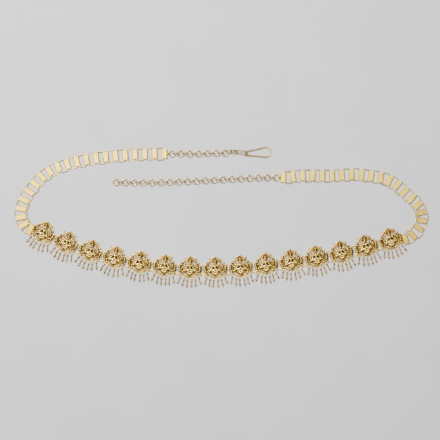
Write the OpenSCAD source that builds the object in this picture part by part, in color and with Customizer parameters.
// An oddiyanam, a gold waist belt, lying open on a surface.
// Fifteen cast plaques with bead drops form the front. A side chain of rings and flat tube
// plates leaves each end, one finished with an adjusting chain, the other with a wire hook.
// Origin: middle of the back of the middle plaque. X runs along the row, Y to its top, Z up.

/* [Plaques] */
// Width of a plaque's casting, over its side fans
plaque_w = 21.8; // [20.5:0.1:23]
// Space between the fans of two neighbouring plaques
plaque_gap = 1.2; // [1.1:0.1:2]
// Thickness of the flat casting under the relief
casting_t = 1.4; // [1.2:0.1:1.8]
// Height of the raised rims and ribs above the casting
rim_h = 0.5; // [0.3:0.05:0.7]
// Height of the seated figure's body above the casting
figure_h = 2.2; // [1.8:0.1:2.6]
// Half the angle that a side fan spreads over
fan_spread = 31; // [28:1:33]
// Raised ribs on each side fan
fan_ribs = 5; // [3:1:6]

/* [Plaque joints] */
// Wire of the small rings that join the plaques
joint_wire = 0.5; // [0.4:0.05:0.6]
// Thickness of the lugs and eyelets
lug_t = 0.6; // [0.5:0.05:0.7]
// Metal left round a lug's or an eyelet's hole
lug_rim = 0.44; // [0.35:0.01:0.5]
// Least clearance of a ring in its lug or eyelet
joint_clear = 0.12; // [0.1:0.01:0.15]

/* [Bead drops] */
// From the middle of a drop's eye to the middle of its tip bead
drop_l = 7.4; // [7:0.1:8]
// Bead next to the eye
inner_bead_d = 1.9; // [1.6:0.1:2.1]
// Main bead
outer_bead_d = 2.1; // [1.9:0.1:2.3]
// Granule at the tip
tip_bead_d = 1.1; // [0.9:0.05:1.2]
// Pin through the beads
pin_d = 0.6; // [0.5:0.05:0.7]
// Wire of a drop's eye
eye_wire = 0.44; // [0.36:0.02:0.5]

/* [Side chains] */
// Straight distance from one ring to the next
side_pitch = 8.78; // [8.7:0.02:8.84]
// Wire of the rings
ring_wire = 0.9; // [0.8:0.05:0.95]
// Outer length of a ring, across the chain
ring_l = 11.5; // [11.4:0.1:12]
// Outer width of a ring, along the chain
ring_w = 6.75; // [6.7:0.05:6.9]
// Radius of the bend at a ring's corners, at the middle of the wire
ring_bend = 0.9; // [0.8:0.1:1]
// Length of a tube plate along the chain
plate_l = 5.1; // [5:0.05:5.2]
// Width of a tube plate across the chain
plate_w = 8.4; // [8:0.1:8.6]
// Thickness of the sheet of a tube plate
sheet_t = 0.25; // [0.2:0.01:0.3]
// Reeds across the top of a tube plate
reeds = 4; // [3:1:4]
// Clearance of a ring's wire in a tube plate
side_clear = 0.11; // [0.1:0.01:0.13]
// How far the left chain's first plate is let into its plaque
left_tuck = 1.7; // [1.5:0.1:1.8]
// How far the right chain's first plate is let into its plaque
right_tuck = 0.6; // [0.4:0.1:1]

/* [End chains] */
// Outer diameter of a round link
link_d = 6.2; // [6:0.1:6.5]
// Wire of the links and of the loops that hold them
link_wire = 0.9; // [0.8:0.05:0.95]
// Clearance of two links where they meet
link_clear = 0.15; // [0.12:0.01:0.2]
// Outer diameter of the loop soldered to a side chain's last plate
loop_d = 3.9; // [3.7:0.1:4.2]
// Face-on links of the adjusting chain
adjusting_links = 19; // [16:1:20]
// Face-on links of the hook's chain
hook_links = 7; // [5:1:7]
// Outer length of the long ring that holds the hook
hook_ring_l = 12.6; // [12.2:0.1:13]
// Outer width of the long ring that holds the hook
hook_ring_w = 5.2; // [5:0.1:5.4]

/* [Hook] */
// Length of the hook's loop over its wire
hook_l = 24.1; // [22:0.1:26]
// Width of the loop over its wire at the round end
hook_w = 10; // [9:0.1:11]
// Width of the loop between its wires' middles at the neck
neck_w = 3.1; // [2.9:0.1:3.4]
// Wire of the hook
hook_wire = 1.2; // [1:0.05:1.3]
// Gap at the neck where the wire springs open
hook_gap = 0.3; // [0.2:0.05:0.5]

/* [Hidden] */
$fn = 48;
gold = "goldenrod";
antique = "darkgoldenrod";
pale = "gold";
beyond = 40;
overlap = 0.1;
bite_room = 0.08;

// The row of plaques

// Heading of each plaque in degrees, left to right, and the middle plaque's number from 0
plaque_heads = [-26, -21.5, -17.5, -13, -9.5, -6.5, -2.5, 1.5, 5, 6.5, 8, 10, 12, 14.5, 17.5];
plaque_count = len(plaque_heads);
middle = floor(plaque_count / 2);
plaque_pitch = plaque_w + plaque_gap;
half_w = plaque_w / 2;
row_turns = [for (i = [1 : plaque_count - 1]) plaque_heads[i] - plaque_heads[i - 1]];
mean_turn = (plaque_heads[plaque_count - 1] - plaque_heads[0]) / (plaque_count - 1);
turn_play = max([for (t = row_turns) abs(t - mean_turn)]);

// Shape of a plaque as shares of its half width: x, y and size
crest_y = 0.835;
crest_r = 0.44;
aureole_y = 0.394;
aureole_r = 0.752;
fan_at = [0.312, 0.266];
fan_r = 0.688;
fan_root = 0.344;
bowl_y = 0.541;
bowl_r = 1.046;
bowl_half = 0.88;
bowl_top = -0.02;
scroll = [0.789, -0.174, 0.138];
finial = [0.468, 1.064, 0.083];
shoulder_bead = [0.67, 0.734, 0.11];
apex_bead = [0, 1.24, 0.064];
halo_y = 0.679;
halo_r = 0.358;
head_slot = [0.248, 0.725, 0.062];
head_slot_half = 0.06;
side_slot = [0.431, 0.523];
side_slot_ends = [-22, 14];
waist_slot = [[0.495, -0.11], [0.372, -0.229]];
waist_slot_r = 0.041;
base_hole = [0.202, -0.349, 0.055];
rim_wire = 0.046;
halo_wire = 0.032;
base_wire = 0.028;
base_line_r = 0.996;
aureole_rim = [32, 62];
crest_rim = [32, 148];
halo_rim = [-12, 192];
base_rim = [238, 302];
scroll_ring = 0.076;
rib_w = 0.05;
rib_ends = [0.42, 0.67];
knob_r = 0.037;
rib_tilt = -3;
rib_fill = 0.68;
petal_turns = [-56, -28, 0, 28, 56];
petal_base = 0.02;
petal_out = 0.2;
petal_r = 0.13;
petal_lean = 0.55;
lotus_knop = [0, -0.39, 0.13];
knop_wire = 0.03;
joint_ys = [0.578, -0.229];
row_lean_y = [0.3, -0.5];

// Seated figure: x, y and radius as shares of the half width, heights as shares of figure_h
head_beads = [[0, 0.69, 0.12, 0.35], [0, 0.83, 0.096, 0.2], [0, 0.935, 0.078, 0.2],
    [0, 1.03, 0.06, 0.2], [0, 1.1, 0.042, 0.2]];
torso = [0, 0.2, 0.3, 0, 0.56, 0.3, 0.125];
limb_beads = [[0.16, 0.52, 0.075, 0.22], [0.3, 0.33, 0.062, 0.14], [0.46, 0.1, 0.1, 0.15]];
limbs = [[0.16, 0.52, 0.2, 0.3, 0.33, 0.14, 0.05], [0.3, 0.33, 0.14, 0.4, 0.2, 0.2, 0.045],
    [0.1, 0.17, 0.22, 0.46, 0.1, 0.15, 0.088], [0.46, 0.08, 0.12, 0.06, 0.01, 0.2, 0.074]];

// Joints between plaques: a ring soldered to the right edge rides in a lug on the left edge
joint_play = joint_ys[0] * half_w * sin(turn_play);
joint_r = joint_wire / 2 + joint_clear + norm([lug_rim / 2 + joint_play, lug_t / 2]);
joint_hole_r = (joint_r + joint_wire / 2 + joint_play + joint_clear - lug_rim / 2) / 2;
joint_lug_r = joint_hole_r + lug_rim;
joint_bite_r = joint_r + joint_wire / 2 + joint_play + joint_clear + bite_room;
joint_lift = 0.05;
joint_z = joint_r + joint_wire / 2 + joint_lift;
tab_r = 0.75;
tab_t = 0.9;
tab_weld = 0.15;

// Drops: six to a plaque, each with its eye through an eyelet
drop_spread = [8.7, 23.2, 39];
drop_lean = [3, 9, 19];
drop_z = outer_bead_d / 2;
drop_sway = 3.5;
bead_places = [0.216, 0.757, 1];
collar_place = 0.486;
collar_d = 1.05;
collar_l = 0.5;
eye_r = eye_wire / 2 + joint_clear + norm([lug_rim, lug_t]) / 2;
eyelet_hole_r = (eye_r + eye_wire / 2 + joint_clear - lug_rim / 2) / 2;
eyelet_r = eyelet_hole_r + lug_rim;
eyelet_bite_r = eye_r + eye_wire / 2 + joint_clear + bite_room;

// Side chains: heading of every tube plate in degrees, from the plaque outwards
left_heads = [154, 126, 98, 78, 63, 54, 50, 43, 31, 20, 17, 13, 9, 8, 7, 6, 4, 3, 2, 1, 1];
right_heads = [17.5, 43, 54, 80, 105, 129, 140, 138, 140, 154, 172, 170, 174, 182, 185, 182,
    180, 177, 184, 188, 180];
ring_reach = (ring_w - ring_wire) / 2;
ring_half = (ring_l - ring_wire) / 2;
ring_straight = ring_half - ring_bend;
corner_in = ring_bend - sqrt(pow(ring_bend, 2) - pow(max(0, plate_w / 2 - ring_straight), 2));
wire_stop = plate_l / 2 - sheet_t - side_clear - ring_wire / 2 - corner_in;
wire_rest = side_pitch / 2 - ring_reach;
low_z = sheet_t + side_clear + ring_wire / 2;
high_z = low_z + ring_wire + side_clear;
plate_t = high_z + ring_wire / 2 + side_clear + sheet_t;
plate_bend = 0.6;
reed_r = 0.25;
reed_rise = 0.12;

// End chains: upright links stand on the surface and face-on links hang between them
link_r = (link_d - link_wire) / 2;
link_reach = link_r - link_wire - link_clear;
link_sag = 33;
upright_z = link_d / 2;
flat_z = upright_z - link_reach * sin(link_sag);
link_step = link_r + link_reach * cos(link_sag);
loop_r = (loop_d - link_wire) / 2;
loop_reach = loop_r - link_wire - link_clear;
loop_z = flat_z + loop_reach * sin(link_sag);
loop_out = 0.93;
adjusting_heads = [[0, 180], [0.2, 183], [0.5, 183], [0.75, 181], [1, 178]];
hook_heads = [[0, -1], [0.5, 1], [1, 2]];

// Twisted links before the hook: step and heading to get there, height, roll, pitch
tail = [[3.9, 8, 2.6, 52, 0], [4.03, 14, 3.1, 116, 0], [6.25, -11, 2.7, 49.7, 8.2]];

// Hook
hook_ring_half = (hook_ring_l - link_wire) / 2;
hook_ring_bend = (hook_ring_w - link_wire) / 2;
hook_end_r = (hook_w - hook_wire) / 2;
hook_axis = hook_l - hook_wire - hook_end_r;
neck_half = neck_w / 2;
neck_bend = 0.9;
hook_tail = 2.2;
hook_tip = 0.6;
hair = 0.01;
hook_head = 3;
hook_hold = hook_ring_half - link_wire / 2 - hook_wire / 2 - link_clear;
neck_z = 2.3;
neck_offset = -0.07;
hook_pitch = asin((neck_z - hook_wire / 2) / (hook_axis + hook_end_r));

function figure_z(share) = casting_t + share * figure_h;
function two_digits(n) = str(n < 10 ? "0" : "", n);
function plaque_name(i) = str("plaque_", two_digits(i + 1));
function drops_name(i) = str("drops_", two_digits(i + 1));
function unit(a) = [cos(a), sin(a)];
function turned(p, a) = [p.x * cos(a) - p.y * sin(a), p.x * sin(a) + p.y * cos(a)];

// Middle of plaque i: half a pitch along one heading, half along the next
function plaque_at(i) = i == middle ? [0, 0]
    : i > middle
    ? plaque_at(i - 1) + (unit(plaque_heads[i - 1]) + unit(plaque_heads[i])) * plaque_pitch / 2
    : plaque_at(i + 1) - (unit(plaque_heads[i + 1]) + unit(plaque_heads[i])) * plaque_pitch / 2;

// Joint point in a plaque's own frame, on its right side
function joint_at(y) = [
    plaque_pitch / 2 - y * half_w * sin(mean_turn / 2),
    y * half_w * cos(mean_turn / 2)
];

// Point of eyelet k where the drop's eye closes round its rim
function eyelet_at(k) = [0, bowl_y * half_w]
    + (bowl_r * half_w + eyelet_bite_r) * [sin(drop_spread[k]), -cos(drop_spread[k])];
function lean_dir(k) = [sin(drop_lean[k]), -cos(drop_lean[k])];

// How far a ring's wire lies from a plate's middle where the chain bends by 2 * d
function wire_at(d) = min(wire_rest,
    wire_stop - plate_w / 2 * tan(d) - ring_wire / 2 * (1 / cos(d) - 1));
function half_turn(h, i) = abs(h[i + 1] - h[i]) / 2;
function ring_head(h, i) = (h[i] + h[i + 1]) / 2;
function ring_from_plate(p, h, i) =
    p + wire_at(half_turn(h, i)) * unit(h[i]) + ring_reach * unit(ring_head(h, i));
function plate_from_ring(p, h, i) =
    p + ring_reach * unit(ring_head(h, i)) + wire_at(half_turn(h, i)) * unit(h[i + 1]);
function plate_places(p, h) = [
    for (i = 0, q = p; i < len(h);
        q = i < len(h) - 1 ? plate_from_ring(ring_from_plate(q, h, i), h, i) : q, i = i + 1) q
];

left_start = plaque_at(0)
    + turned([-(half_w + plate_l / 2 - left_tuck), row_lean_y[0]], plaque_heads[0]);
right_start = plaque_at(plaque_count - 1)
    + turned([half_w + plate_l / 2 - right_tuck, row_lean_y[1]], plaque_heads[plaque_count - 1]);
left_places = plate_places(left_start, left_heads);
right_places = plate_places(right_start, right_heads);
side_rings = len(left_heads) - 1;

// Round links, alternating face-on and upright, from a loop outwards
function link_places(p, a, heads, n) = [
    for (i = 0, q = p + unit(a) * (link_r + loop_reach * cos(link_sag)); i < n;
        i = i + 1, q = q + unit(lookup(i / n, heads)) * link_step) q
];
function loop_at(places, heads) =
    places[side_rings] + unit(heads[side_rings]) * (plate_l / 2 + loop_out);
adjusting_n = 2 * adjusting_links - 1;
hook_n = 2 * hook_links - 1;
adjusting_places =
    link_places(loop_at(right_places, right_heads), right_heads[side_rings], adjusting_heads,
        adjusting_n);
hook_places =
    link_places(loop_at(left_places, left_heads), left_heads[side_rings], hook_heads, hook_n);
function tail_at(i) = i < 0 ? hook_places[hook_n - 1] : tail_at(i - 1) + tail[i][0] * unit(tail[i][1]);
neck_at = tail_at(len(tail) - 1) + hook_hold * unit(tail[len(tail) - 1][1]);

module at(p, a = 0) translate([p.x, p.y, 0]) rotate([0, 0, a]) children();

module both_sides() {
    children();
    mirror([1, 0, 0]) children();
}

module disc(x, y, r) translate([x, y] * half_w) circle(r * half_w);

module bead(x, y, r, z) translate([x * half_w, y * half_w, z]) sphere(r * half_w);

// Rod between two points given as shares of the half width, with heights in mm
module rod(a, b, r) {
    p = [a.x * half_w, a.y * half_w, a.z];
    q = [b.x * half_w, b.y * half_w, b.z];
    v = q - p;
    translate(p)
        rotate([0, acos(v.z / norm(v)), atan2(v.y, v.x)])
            cylinder(h = norm(v), r = r * half_w);
}

module wire_arc(r, wire_r, from, to)
    rotate([0, 0, from])
        rotate_extrude(angle = to - from)
            translate([r, 0]) circle(wire_r);

module wire_ring(r, wire) rotate_extrude() translate([r, 0]) circle(wire / 2);

module upright() rotate([90, 0, 0]) children();

// Outline of one side fan
module fan_2d() {
    reach = 2 * fan_r * half_w;
    root = [-fan_root, 0] * half_w;
    intersection() {
        disc(fan_at.x, fan_at.y, fan_r);
        translate(fan_at * half_w)
            polygon([root, reach * unit(-fan_spread), reach * unit(fan_spread)]);
    }
}

module bowl_2d() {
    intersection() {
        disc(0, bowl_y, bowl_r);
        translate([-bowl_half, -1] * half_w) square([2 * bowl_half, 1 + bowl_top] * half_w);
    }
}

module gaps_2d() {
    both_sides() {
        for (s = [-1, 1])
            disc(head_slot.x, head_slot.y + s * head_slot_half, head_slot.z);
        translate([head_slot.x - head_slot.z, head_slot.y - head_slot_half] * half_w)
            square([head_slot.z, head_slot_half] * 2 * half_w);
        disc(base_hole.x, base_hole.y, base_hole.z);
        translate([0, halo_y * half_w])
            rotate(side_slot_ends[0])
                arc_band_2d(side_slot, side_slot_ends[1] - side_slot_ends[0]);
        waist_slot_2d();
    }
}

module arc_band_2d(radii, angle) {
    intersection() {
        difference() {
            circle(radii[1] * half_w);
            circle(radii[0] * half_w);
        }
        polygon([[0, 0], [beyond, 0], beyond * unit(angle / 2), beyond * unit(angle)]);
    }
}

module waist_slot_2d() {
    a = waist_slot[0] * half_w;
    b = waist_slot[1] * half_w;
    v = b - a;
    for (p = [a, b])
        translate(p) circle(waist_slot_r * half_w);
    translate(a)
        rotate(atan2(v.y, v.x))
            translate([0, -waist_slot_r * half_w])
                square([norm(v), 2 * waist_slot_r * half_w]);
}

module outline_2d() {
    difference() {
        union() {
            disc(0, crest_y, crest_r);
            disc(0, aureole_y, aureole_r);
            bowl_2d();
            both_sides() {
                fan_2d();
                disc(scroll.x, scroll.y, scroll.z);
                disc(finial.x, finial.y, finial.z);
                disc(shoulder_bead.x, shoulder_bead.y, shoulder_bead.z);
            }
        }
        gaps_2d();
        for (k = [0 : len(drop_spread) - 1])
            both_sides()
                translate(eyelet_at(k)) circle(eyelet_bite_r);
    }
}

module left_lugs_2d() {
    for (y = joint_ys)
        translate(lug_at(y)) circle(joint_lug_r);
}

function lug_at(y) = [-joint_at(y).x + lug_rim / 2 + joint_hole_r, joint_at(y).y];

// Ring soldered to the right edge, standing across the gap
module joint_rings() {
    for (y = joint_ys)
        translate([joint_at(y).x, joint_at(y).y, joint_z]) {
            upright() wire_ring(joint_r, joint_wire);
            translate([tab_weld - joint_r - tab_r, 0, -tab_t / 2])
                cylinder(h = tab_t, r = tab_r);
        }
}

module eyelets() {
    for (k = [0 : len(drop_spread) - 1])
        both_sides()
            translate([0, 0, drop_z - lug_t / 2])
                linear_extrude(lug_t)
                    translate(eyelet_at(k) - (lug_rim / 2 + eyelet_hole_r) * lean_dir(k))
                        difference() {
                            circle(eyelet_r);
                            circle(eyelet_hole_r);
                        }
}

// Raised rims, ribs and granules
module ornament() {
    rim_arc([0, aureole_y], aureole_r - rim_wire, rim_wire, aureole_rim);
    mirror([1, 0, 0]) rim_arc([0, aureole_y], aureole_r - rim_wire, rim_wire, aureole_rim);
    rim_arc([0, crest_y], crest_r - rim_wire, rim_wire, crest_rim);
    rim_arc([0, halo_y], halo_r, halo_wire, halo_rim);
    rim_arc([0, bowl_y], base_line_r, base_wire, base_rim);
    bead(apex_bead.x, apex_bead.y, apex_bead.z, casting_t);
    both_sides() {
        bead(finial.x, finial.y, finial.z, casting_t);
        bead(shoulder_bead.x, shoulder_bead.y, shoulder_bead.z, casting_t);
        rim_arc(scroll, scroll_ring, halo_wire, [0, 360]);
        fan_relief();
    }
}

// Half-round rim on the casting's face: middle, radius and wire as shares of the half width
module rim_arc(p, r, wire, ends)
    translate([p.x * half_w, p.y * half_w, casting_t])
        wire_arc(r * half_w, wire * half_w, ends[0], ends[1]);

module fan_relief() {
    step = 2 * fan_spread * rib_fill / (fan_ribs - 1);
    translate([fan_at.x * half_w, fan_at.y * half_w, casting_t])
        for (i = [0 : fan_ribs - 1])
            rotate([0, 0, rib_tilt + (i - (fan_ribs - 1) / 2) * step]) {
                translate([rib_ends[0] * half_w, -rib_w / 2 * half_w, -overlap])
                    cube([(rib_ends[1] - rib_ends[0]) * half_w, rib_w * half_w, rim_h + overlap]);
                translate([rib_ends[1] * half_w, 0, 0]) sphere(knob_r * half_w);
            }
}

// Seated figure on its lotus
module figure() {
    for (b = head_beads)
        bead(b[0], b[1], b[2], figure_z(b[3]));
    limb(torso);
    both_sides() {
        for (b = limb_beads)
            bead(b[0], b[1], b[2], figure_z(b[3]));
        for (l = limbs)
            limb(l);
    }
    lotus();
}

module limb(l) rod([l[0], l[1], figure_z(l[2])], [l[3], l[4], figure_z(l[5])], l[6]);

module lotus() {
    translate([0, petal_base * half_w, casting_t - overlap])
        linear_extrude(rim_h + overlap)
            for (a = petal_turns)
                rotate(a)
                    translate([0, -petal_out * half_w]) petal_2d(petal_r * half_w);
    rim_arc(lotus_knop, lotus_knop.z, knop_wire, [0, 180]);
}

module petal_2d(r) {
    intersection_for (s = [-1, 1])
        translate([s * r * petal_lean, 0]) circle(r);
}

// Envelope and sheet of a tube plate, its middle at the origin, lying along X
module rounded_2d(l, t, r) {
    for (x = [-1, 1])
        for (y = [-1, 1])
            translate([x * (l / 2 - r), y * (t / 2 - r)]) circle(r);
    square([l, t - 2 * r], center = true);
    square([l - 2 * r, t], center = true);
}

module across(l) upright() linear_extrude(l, center = true) children();

module plate_envelope() translate([0, 0, plate_t / 2]) across(plate_w)
    rounded_2d(plate_l, plate_t, plate_bend);

module tube_plate() {
    reed_pitch = (plate_l - 2 * plate_bend) / (reeds - 1);
    translate([0, 0, plate_t / 2])
        across(plate_w)
            difference() {
                union() {
                    rounded_2d(plate_l, plate_t, plate_bend);
                    for (i = [0 : reeds - 1])
                        translate([(i - (reeds - 1) / 2) * reed_pitch, plate_t / 2 + reed_rise - reed_r])
                            circle(reed_r);
                }
                rounded_2d(plate_l - 2 * sheet_t, plate_t - 2 * sheet_t, plate_bend - sheet_t);
            }
}

module casting() {
    linear_extrude(casting_t) outline_2d();
    ornament();
    figure();
}

module plaque(i) {
    first = i == 0;
    last = i == plaque_count - 1;
    lug_z = joint_z - lug_t / 2;
    color(antique)
        at(plaque_at(i), plaque_heads[i]) {
            difference() {
                casting();
                if (!first)
                    for (y = joint_ys)
                        translate([-joint_at(y).x, joint_at(y).y, -overlap])
                            cylinder(h = beyond, r = joint_bite_r);
                if (first)
                    at([-(half_w + plate_l / 2 - left_tuck), row_lean_y[0]]) plate_envelope();
                if (last)
                    at([half_w + plate_l / 2 - right_tuck, row_lean_y[1]]) plate_envelope();
            }
            eyelets();
            if (first)
                at([-(half_w + plate_l / 2 - left_tuck), row_lean_y[0]]) tube_plate();
            else
                translate([0, 0, lug_z])
                    linear_extrude(lug_t)
                        difference() {
                            left_lugs_2d();
                            for (y = joint_ys)
                                translate(lug_at(y)) circle(joint_hole_r);
                        }
            if (last)
                at([half_w + plate_l / 2 - right_tuck, row_lean_y[1]]) tube_plate();
            else
                joint_rings();
        }
}

// One bead drop lying along X from its eye at the origin, its beads' poles on the pin
module drop() {
    diameters = [inner_bead_d, outer_bead_d, tip_bead_d];
    translate([0, 0, drop_z]) {
        upright() rotate([0, 0, 180]) wire_ring(eye_r, eye_wire);
        rotate([0, 90, 0]) {
            for (k = [0 : len(bead_places) - 1])
                translate([0, 0, bead_places[k] * drop_l]) sphere(diameters[k] / 2);
            translate([0, 0, bead_places[0] * drop_l])
                cylinder(h = (1 - bead_places[0]) * drop_l, r = pin_d / 2);
            translate([0, 0, collar_place * drop_l - collar_l / 2])
                cylinder(h = collar_l, r = collar_d / 2);
        }
    }
}

module drops(i) {
    color(pale)
        at(plaque_at(i), plaque_heads[i])
            for (side = [-1, 1])
                for (k = [0 : len(drop_spread) - 1]) {
                    p = eyelet_at(k);
                    sway = drop_sway * sin(97 * i + 61 * k + 40 * side);
                    translate([side * p.x, p.y, 0])
                        rotate([0, 0, -90 + side * drop_lean[k] + sway]) drop();
                }
}

// Ring of round wire: two straight sides along Y, bent corners, middle at the origin
module side_ring() {
    for (x = [-1, 1])
        translate([x * ring_reach, ring_straight, 0])
            upright() cylinder(h = 2 * ring_straight, r = ring_wire / 2);
    for (y = [-1, 1])
        translate([-(ring_reach - ring_bend), y * ring_half, 0])
            rotate([0, 90, 0]) cylinder(h = 2 * (ring_reach - ring_bend), r = ring_wire / 2);
    for (q = [0 : 3]) {
        a = 90 * q;
        c = [ring_reach - ring_bend, ring_straight];
        translate([(q == 0 || q == 3 ? 1 : -1) * c.x, (q < 2 ? 1 : -1) * c.y, 0])
            wire_arc(ring_bend, ring_wire / 2, a, a + 90);
    }
}

module side_chain_rings(places, heads) {
    for (i = [0 : side_rings - 1])
        at(ring_from_plate(places[i], heads, i), ring_head(heads, i))
            translate([0, 0, i % 2 == 0 ? low_z : high_z]) side_ring();
}

module side_chain_plates(places, heads) {
    for (i = [1 : side_rings - 1])
        at(places[i], heads[i]) tube_plate();
}

module end_plate(places, heads) {
    at(places[side_rings], heads[side_rings]) {
        tube_plate();
        translate([plate_l / 2 + loop_out, 0, loop_z])
            upright() wire_ring(loop_r, link_wire);
    }
}

module left_rings() color(pale) side_chain_rings(left_places, left_heads);
module left_plates() color(gold) side_chain_plates(left_places, left_heads);
module left_end_plate() color(gold) end_plate(left_places, left_heads);
module right_rings() color(pale) side_chain_rings(right_places, right_heads);
module right_plates() color(gold) side_chain_plates(right_places, right_heads);
module right_end_plate() color(gold) end_plate(right_places, right_heads);

module round_links(places, heads, n) {
    for (i = [0 : n - 1])
        if (i % 2 == 0)
            at(places[i]) translate([0, 0, flat_z]) wire_ring(link_r, link_wire);
        else
            at(places[i], lookup((i - 0.5) / n, heads))
                translate([0, 0, upright_z]) upright() wire_ring(link_r, link_wire);
}

module long_ring() {
    s = hook_ring_half - hook_ring_bend;
    for (side = [-1, 1]) {
        translate([-s, side * hook_ring_bend, 0])
            rotate([0, 90, 0]) cylinder(h = 2 * s, r = link_wire / 2);
        translate([side * s, 0, 0])
            wire_arc(hook_ring_bend, link_wire / 2, side > 0 ? -90 : 90, side > 0 ? 90 : 270);
    }
}

module adjusting_chain() color(pale) round_links(adjusting_places, adjusting_heads, adjusting_n);

module hook_chain() {
    color(pale) {
        round_links(hook_places, hook_heads, hook_n);
        for (i = [0 : len(tail) - 1])
            at(tail_at(i), tail[i][1])
                translate([0, 0, tail[i][2]])
                    rotate([tail[i][3], tail[i][4], 0])
                        if (i < len(tail) - 1) wire_ring(link_r, link_wire);
                        else long_ring();
    }
}

// Pear of round wire: round end, two legs that close towards the neck, and the neck's cross wire
module hook() {
    leg_end = [hook_axis - neck_bend, neck_half];
    far = norm(leg_end);
    tangent = 180 - atan2(leg_end.y, leg_end.x) - acos(hook_end_r / far);
    leg = sqrt(pow(far, 2) - pow(hook_end_r, 2));
    r = hook_wire / 2;
    bend_at = [-leg_end.x, leg_end.y] - neck_bend * unit(tangent);
    cross_l = bend_at.y + neck_half - r - hook_gap;
    color(pale)
        at(neck_at - neck_offset * unit(hook_head + 90), hook_head)
            translate([0, 0, neck_z])
                rotate([0, hook_pitch, 0])
                    translate([neck_bend - bend_at.x, 0, 0]) {
                        wire_arc(hook_end_r, r, -tangent, tangent);
                        hook_leg(tangent, 1, leg + overlap);
                        hook_leg(tangent, -1, leg + hook_tail);
                        translate(bend_at) wire_arc(neck_bend, r, tangent, 180);
                        translate([bend_at.x - neck_bend, bend_at.y - cross_l, 0])
                            rotate([-90, 0, 0]) cylinder(h = cross_l + overlap, r = r - hair);
                    }
}

module hook_leg(tangent, side, l) {
    rotate([0, 0, side * tangent])
        translate([hook_end_r, 0, 0])
            rotate([-90 * side, 0, 0]) {
                translate([0, 0, -overlap]) cylinder(h = l + overlap, r = hook_wire / 2 - hair);
                if (side < 0)
                    translate([0, 0, l]) sphere(hook_tip * hook_wire);
            }
}

for (i = [0 : plaque_count - 1]) {
    plaque(i);
    drops(i);
}
left_rings();
left_plates();
left_end_plate();
right_rings();
right_plates();
right_end_plate();
adjusting_chain();
hook_chain();
hook();
